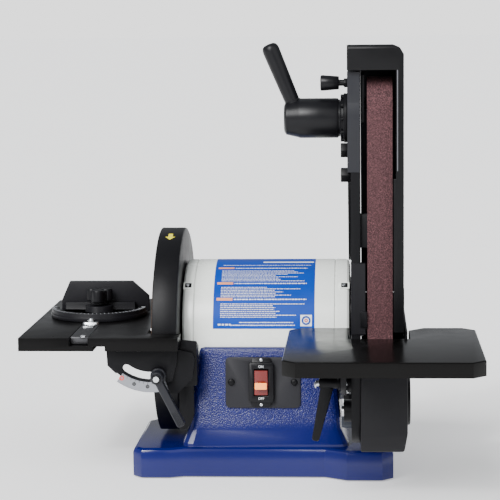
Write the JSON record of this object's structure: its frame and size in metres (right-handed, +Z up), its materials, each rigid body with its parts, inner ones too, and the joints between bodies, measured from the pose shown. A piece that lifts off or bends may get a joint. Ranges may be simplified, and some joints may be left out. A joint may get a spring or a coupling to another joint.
{
  "type": "belt and disc sander",
  "caption": "Bench belt and disc sander on a blue cast base, with an upright belt arm, tilting belt table, guarded disc, tilting disc table and sliding miter gauge.",
  "frame": {"origin": "middle of the overall footprint, at the underside of the rubber feet", "axes": "+X from the disc towards the belt, +Y away from the operator, +Z up"},
  "size_m": [0.4808, 0.474, 0.4691],
  "materials": {
    "base_casting": "gloss hammered blue",
    "bottom_cover": "satin",
    "foot": "matt",
    "switch_plate": "satin",
    "switch_body": "satin",
    "switch_rocker": "gloss, lit from inside",
    "black_screw": "satin",
    "cord_gland": "matt",
    "motor_shell": "gloss off-white",
    "bright_steel": "machined",
    "stator": "laminated",
    "aluminium_wheel": "machined",
    "abrasive": "abrasive grit",
    "black_cast": "satin black paint",
    "black_steel": "satin black paint",
    "black_table": "semi-gloss black paint",
    "black_plastic": "satin",
    "scale_plate": "satin",
    "grey_plastic": "satin"
  },
  "bodies": {
    "chassis": {"base_casting": "base_casting", "bottom_cover": "bottom_cover", "foot_front_left": "foot", "foot_front_right": "foot", "foot_rear_left": "foot", "foot_rear_right": "foot", "switch_plate": "switch_plate", "switch_body": "switch_body", "plate_screw_left": "black_screw", "plate_screw_right": "black_screw", "cord_gland": "cord_gland", "motor_housing": "motor_shell", "motor_end_cap_left": "motor_shell", "motor_end_cap_right": "motor_shell", "stator": "stator", "bearing_left": "bright_steel", "bearing_right": "bright_steel", "disc_guard": "black_cast", "guard_bracket_front": "black_cast", "guard_bracket_rear": "black_cast", "lock_stud_front": "bright_steel", "lock_stud_rear": "bright_steel", "arm_casting": "black_cast", "bottom_axle": "bright_steel", "tension_flange": "black_cast", "platen": "bright_steel", "abrasive_belt": "abrasive", "upper_cover": "black_steel", "lower_cover": "black_steel", "dust_port": "grey_plastic", "belt_lock_stud": "bright_steel"},
    "spindle": {"motor_rotor": "bright_steel", "disc_plate": "aluminium_wheel", "abrasive_disc": "abrasive", "drive_wheel": "aluminium_wheel"},
    "top_idler": {"top_idler": "aluminium_wheel"},
    "bottom_idler": {"bottom_idler": "aluminium_wheel"},
    "tension_lever": {"tension_lever": "black_plastic"},
    "tension_carriage": {"tension_carriage": "bright_steel"},
    "tracking_knob": {"tracking_knob": "black_plastic"},
    "disc_table": {"disc_table": "black_table", "disc_trunnion_front": "black_steel", "disc_trunnion_rear": "black_steel", "tilt_scale": "scale_plate"},
    "miter_bar": {"miter_bar": "black_steel", "miter_pointer": "bright_steel"},
    "protractor": {"protractor_head": "black_cast", "miter_fence": "black_steel"},
    "miter_knob": {"miter_knob": "black_plastic"},
    "disc_lock_lever": {"disc_lock_lever": "black_cast"},
    "belt_table": {"belt_table": "black_table", "belt_trunnion": "black_steel"},
    "belt_lock_lever": {"belt_lock_lever": "black_cast"},
    "cover_knob_upper": {"cover_knob_upper": "black_plastic"},
    "cover_knob_lower": {"cover_knob_lower": "black_plastic"},
    "switch_rocker": {"switch_rocker": "switch_rocker"}
  },
  "joints": [
    {"name": "motor_spin", "type": "hinge", "parent": "chassis", "child": "spindle", "pos_m": [0.0164, 0.105, 0.1462], "axis": [1, 0, 0], "continuous": true},
    {"name": "bottom_idler_spin", "type": "hinge", "parent": "chassis", "child": "bottom_idler", "pos_m": [0.1414, -0.0775, 0.0915], "axis": [1, 0, 0], "continuous": true},
    {"name": "tension_lever_turn", "type": "hinge", "parent": "chassis", "child": "tension_lever", "pos_m": [0.0764, -0.07, 0.3925], "axis": [1, 0, 0], "range_deg": [0, 90]},
    {"name": "tension_slide", "type": "slide", "parent": "chassis", "child": "tension_carriage", "axis": [0, 0, 1], "range_m": [-0.008, 0]},
    {"name": "top_idler_spin", "type": "hinge", "parent": "tension_carriage", "child": "top_idler", "pos_m": [0.1414, -0.0775, 0.40709], "axis": [1, 0, 0], "continuous": true},
    {"name": "tracking_knob_turn", "type": "hinge", "parent": "chassis", "child": "tracking_knob", "pos_m": [0.0914, -0.07, 0.428], "axis": [1, 0, 0], "range_deg": [-180, 180]},
    {"name": "disc_table_tilt", "type": "hinge", "parent": "chassis", "child": "disc_table", "pos_m": [-0.1021, 0.105, 0.1615], "axis": [0, -1, 0], "range_deg": [0, 45]},
    {"name": "miter_slide", "type": "slide", "parent": "disc_table", "child": "miter_bar", "axis": [0, 1, 0], "range_m": [-0.05, 0.05]},
    {"name": "miter_swing", "type": "hinge", "parent": "miter_bar", "child": "protractor", "pos_m": [-0.1761, 0.113, 0.1608], "axis": [0, 0, 1], "range_deg": [-60, 60]},
    {"name": "miter_knob_turn", "type": "hinge", "parent": "miter_bar", "child": "miter_knob", "pos_m": [-0.1761, 0.113, 0.1815], "axis": [0, 0, 1], "range_deg": [-180, 180]},
    {"name": "disc_lock_turn", "type": "hinge", "parent": "chassis", "child": "disc_lock_lever", "pos_m": [-0.0938, -0.03245, 0.1173], "axis": [0, 1, 0], "range_deg": [-60, 60]},
    {"name": "belt_table_tilt", "type": "hinge", "parent": "chassis", "child": "belt_table", "pos_m": [0.1414, -0.105, 0.1715], "axis": [1, 0, 0], "range_deg": [0, 45]},
    {"name": "belt_lock_turn", "type": "hinge", "parent": "chassis", "child": "belt_lock_lever", "pos_m": [0.0904, -0.097, 0.1241], "axis": [1, 0, 0], "range_deg": [-50, 50]},
    {"name": "cover_knob_upper_turn", "type": "hinge", "parent": "chassis", "child": "cover_knob_upper", "pos_m": [0.1664, -0.015, 0.1975], "axis": [1, 0, 0], "range_deg": [-180, 180]},
    {"name": "cover_knob_lower_turn", "type": "hinge", "parent": "chassis", "child": "cover_knob_lower", "pos_m": [0.1714, -0.035, 0.0935], "axis": [1, 0, 0], "range_deg": [-180, 180]},
    {"name": "switch_rock", "type": "hinge", "parent": "chassis", "child": "switch_rocker", "pos_m": [0.014, 0.01131, 0.10321], "axis": [1, 0, 0], "range_deg": [-7, 0]}
  ],
  "couplings": [
    {"joint": "bottom_idler_spin", "follows": "motor_spin", "ratio": 2.3846},
    {"joint": "top_idler_spin", "follows": "motor_spin", "ratio": 2.3846}
  ]
}
